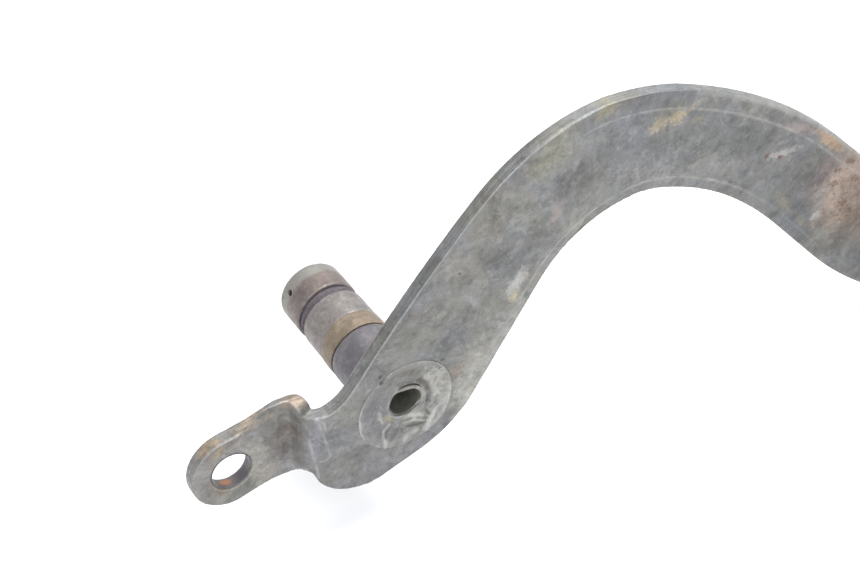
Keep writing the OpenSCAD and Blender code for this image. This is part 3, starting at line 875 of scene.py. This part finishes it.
def lathe_ring(name, profile, segments=160):
    """A closed ring about the Y axis; profile is a loop of (radius, y) in millimetres."""
    count = len(profile)
    verts, faces = [], []
    for i in range(segments):
        a = 2 * math.pi * i / segments
        verts += [(r * math.cos(a) * MM, y * MM, r * math.sin(a) * MM) for r, y in profile]
        for k in range(count):
            here, right = i * count, (i + 1) % segments * count
            faces.append((here + k, here + (k + 1) % count, right + (k + 1) % count, right + k))
    return closed_piece(name, verts, faces)


def rounded_profile(inner, outer, y0, y1, corner, crown=0.0, steps=6):
    """A ring's section with rounded outer corners and a slightly crowned outside."""
    loop = [(inner, y0), (inner, y1)]
    for i in range(steps + 1):
        t = math.pi / 2 * i / steps
        loop.append((outer - crown - corner * (1 - math.sin(t)), y1 - corner * (1 - math.cos(t))))
    for i in range(1, steps):
        y = y1 - corner - (y1 - y0 - 2 * corner) * i / steps
        swell = crown * math.sin(math.pi * i / steps)
        loop.append((outer - crown + swell, y))
    for i in range(steps + 1):
        t = math.pi / 2 * i / steps
        loop.append((outer - crown - corner * (1 - math.cos(t)), y0 + corner * (1 - math.sin(t))))
    return loop


def make_rings(ochre, black):
    low, high = box_mm("dust_ring")
    dust = lathe_ring("dust_seal", rounded_profile(7.8, high.x, low.y, high.y, 0.18, 0.08))
    finish_piece(dust, ochre, "lever", ["dust_ring"])
    low, high = box_mm("tip_o_ring")
    seal = lathe_ring("seal_ring", rounded_profile(7.4, high.x, low.y, high.y, 0.8, 0.25))
    finish_piece(seal, black, "lever", ["tip_o_ring"])


def make_sleeve(material):
    piece = dense_copy("bore_sleeve", "bush", 0.22, 3)
    points = positions(piece.data)
    # its outer lip is flared a little and knocked uneven
    angle = np.arctan2(points[:, 2], points[:, 0])
    lip = ramp_down(points[:, 1], 1.2)
    flare = 1 + 0.035 * lip * (1 + 0.4 * np.sin(2 * angle + 0.6))
    points[:, 0] *= flare
    points[:, 2] *= flare
    points[:, 1] += (0.10 * (1 + np.sin(3 * angle)) + 1.1 * covered(points)) * lip
    set_positions(piece.data, points)
    return finish_piece(piece, material, "lever", ["bore_sleeve"])


# ---- The toe end ----------------------------------------------------------------------------------


def tube(name, path, radii, sides):
    """A round bar with closed ends along a path of points, in millimetres."""
    path = np.array(path, float)
    tangents = np.gradient(path, axis=0)
    tangents /= np.linalg.norm(tangents, axis=1)[:, None]
    side = np.cross(tangents, (0, 0, 1))
    weak = np.linalg.norm(side, axis=1) < 0.2
    side[weak] = np.cross(tangents[weak], (0, 1, 0))
    side /= np.linalg.norm(side, axis=1)[:, None]
    up = np.cross(side, tangents)
    angles = 2 * np.pi * np.arange(sides) / sides
    radii = np.broadcast_to(radii, len(path))
    verts = [
        (path[i] + radii[i] * (math.cos(a) * side[i] + math.sin(a) * up[i])) * MM
        for i in range(len(path))
        for a in angles
    ]
    faces = [
        (i * sides + k, i * sides + (k + 1) % sides, (i + 1) * sides + (k + 1) % sides, (i + 1) * sides + k)
        for i in range(len(path) - 1)
        for k in range(sides)
    ]
    faces.append(tuple(range(sides)))
    faces.append(tuple((len(path) - 1) * sides + k for k in range(sides)))
    return closed_piece(name, verts, faces)


def make_welds(material):
    """A rippled weld bead down each side of the barrel's foot, where it meets the arm."""
    low, high = box_mm("hinge_barrel")
    half_foot = 5.5
    for name, side in (("weld_rear", -1), ("weld_front", 1)):
        steps = 90
        height = np.linspace(low.z + 1.2, high.z - 1.2, steps)
        ripple = np.abs(np.sin(height * 2.3 + side))
        ends = np.minimum(1, np.minimum(np.arange(steps), np.arange(steps)[::-1]) / 8) ** 0.5
        radii = (1.05 + 0.16 * ripple) * (0.35 + 0.65 * ends)
        wander = 0.12 * np.sin(height * 0.9 + 2 * side)
        x = hinge_at.x + side * (half_foot + 0.25) + wander
        path = np.stack([x, np.full(steps, -0.35), height], 1)
        bead = tube(name, path, radii, 16)
        finish_piece(bead, material, "lever", spread=2)


def make_spring(material):
    """The torsion spring, one leg on the arm and one behind the fork."""
    low, high = box_mm("fold_spring")
    wire_r = 0.6
    coil_r = 5.1
    turns = 3
    steps = 32
    start = math.radians(195)
    bottom, top = low.z + wire_r, high.z - wire_r
    path = [(hinge_at.x + coil_r * math.cos(start) - 0.6, hinge_at.y - 6.6, bottom)]
    for i in range(turns * steps + 1):
        t = start + 2 * math.pi * i / steps
        z = bottom + (top - bottom) * i / (turns * steps)
        path.append((hinge_at.x + coil_r * math.cos(t), hinge_at.y + coil_r * math.sin(t), z))
    path.append((hinge_at.x + coil_r * math.cos(start) + 0.6, -wire_r - 0.1, top))
    piece = tube("torsion_spring", path, wire_r, 12)
    mark_wear_and_sheen(piece.data, 2)
    piece.data.shade_smooth()
    piece.data.materials.append(material)
    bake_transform(piece)
    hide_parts("fold_spring")


def make_peg(material):
    piece = dense_copy("toe_peg", "peg_fork", 0.32, 9)
    points = positions(piece.data)
    # forging flash: a faint line runs along the stem's sides
    flash = ridge(points[:, 2] - hinge_at.z + 0.1, 0.35) * (np.abs(points[:, 0] - hinge_at.x) > 3.5)
    outward = np.sign(points[:, 0] - hinge_at.x)
    stem = points[:, 1] < hinge_at.y - 13
    points[:, 0] += 0.10 * flash * outward * stem
    set_positions(piece.data, points)
    return finish_piece(piece, material, "toe", ["toe_peg"])


def make_rubber(material):
    piece = dense_copy("toe_rubber", "ribbed_rubber", 0.32, 5)
    low, high = box_mm("toe_rubber")
    centre = (low + high) / 2
    points = positions(piece.data)
    # the boot has worn the top of the ribs flat towards the outer end
    worn = step_up(points[:, 2], centre.z + 7.6, centre.z + 9.6) * step_up(-points[:, 1], -centre.y, -low.y)
    points[:, 2] -= 0.7 * worn
    set_positions(piece.data, points)
    return finish_piece(piece, material, "toe", ["toe_rubber"])


def make_small_parts(plate, pin, spring_steel, washer):
    for node, name, voxel, rounds, material, body, slot in (
        ("hinge_barrel", "barrel", 0.32, 6, plate, "lever", "plated_plate"),
        ("hinge_pin", "pivot_pin", 0.24, 4, pin, "toe", "pin_steel"),
        ("pin_clip", "e_clip", 0.14, 3, spring_steel, "toe", "spring_steel"),
        ("upper_washer", "washer_top", 0.12, 2, washer, "toe", "washer_steel"),
        ("lower_washer", "washer_bottom", 0.12, 2, washer, "toe", "washer_steel"),
    ):
        finish_piece(dense_copy(node, name, voxel, rounds), material, body, [node])


# ---- Stage ----------------------------------------------------------------------------------------


def make_camera():
    azimuth = math.radians(-31.489)
    elevation = math.radians(40.705)
    target = Vector((6.89, 0.13, 34.97)) * MM
    distance = 0.3942
    level = math.cos(elevation)
    back = Vector((math.sin(azimuth) * level, -math.cos(azimuth) * level, math.sin(elevation)))
    data = bpy.data.cameras.new("camera")
    data.lens = 70
    data.sensor_width = 36
    data.clip_start = 0.01
    camera = bpy.data.objects.new("camera", data)
    bpy.context.scene.collection.objects.link(camera)
    camera.location = target + back * distance
    camera.rotation_mode = "QUATERNION"
    camera.rotation_quaternion = (-back).to_track_quat("-Z", "Y")
    bpy.context.scene.camera = camera


def make_floor():
    look = Look("paper")
    soft = look.noise(60, 5.0, 2.0)
    colour = look.mix(look.between(soft, 0.3, 0.7), (0.90, 0.90, 0.91), (0.93, 0.93, 0.935))
    material = look.finish(colour, 0.9, 0.0, look.bump(look.noise(1.5, 6.0, 2.0), 0.02), specular=0.1)
    size = 3.0
    level = cad_bounds[0].z - 0.5 * MM
    mesh = bpy.data.meshes.new("floor")
    corners = [(-size, -size, level), (size, -size, level), (size, size, level), (-size, size, level)]
    mesh.from_pydata(corners, [], [(0, 1, 2, 3)])
    mesh.materials.append(material)
    new_object("floor", mesh)


def make_light(name, place, aim, size, power, colour=(1, 1, 1)):
    data = bpy.data.lights.new(name, "AREA")
    data.shape = "DISK"
    data.size = size
    data.energy = power
    data.color = colour
    light = bpy.data.objects.new(name, data)
    bpy.context.scene.collection.objects.link(light)
    light.location = place
    light.rotation_mode = "QUATERNION"
    light.rotation_quaternion = (Vector(aim) - Vector(place)).to_track_quat("-Z", "Y")


def make_lights():
    world = bpy.data.worlds.new("studio")
    world.use_nodes = True
    background = world.node_tree.nodes["Background"]
    background.inputs["Color"].default_value = (0.95, 0.97, 1.0, 1)
    background.inputs["Strength"].default_value = 0.72
    bpy.context.scene.world = world
    bpy.context.scene.view_settings.view_transform = "Standard"
    aim = (0.06, 0, 0)
    make_light("key", (0.42, 0.15, 1.05), aim, 1.1, 17.0)
    make_light("fill", (0.0, -0.95, 0.75), aim, 0.8, 4.0, (1.0, 0.99, 0.98))


# ---- The scene ------------------------------------------------------------------------------------

make_camera()
make_floor()
make_lights()
plate_look = plated_plate()
spring_look = simple_steel("spring_steel", (0.10, 0.095, 0.09), 300.0, rings=False)
make_arm(plate_look)
make_journal(journal_steel())
make_rings(
    simple_steel("ochre_ring", (0.228, 0.180, 0.130), 160.0, metallic=0.3),
    rubber("seal_rubber", (0.095, 0.078, 0.090), 180.0),
)
make_sleeve(sleeve_steel())
make_welds(plate_look)
make_spring(spring_look)
make_peg(simple_steel("plated_peg", (0.23, 0.235, 0.215), 220.0, rings=False, metallic=0.45))
make_rubber(rubber("peg_rubber", (0.030, 0.030, 0.032), 240.0))
make_small_parts(
    plate_look,
    simple_steel("pin_steel", (0.30, 0.29, 0.265), 260.0),
    spring_look,
    simple_steel("washer_steel", (0.42, 0.41, 0.385), 280.0),
)
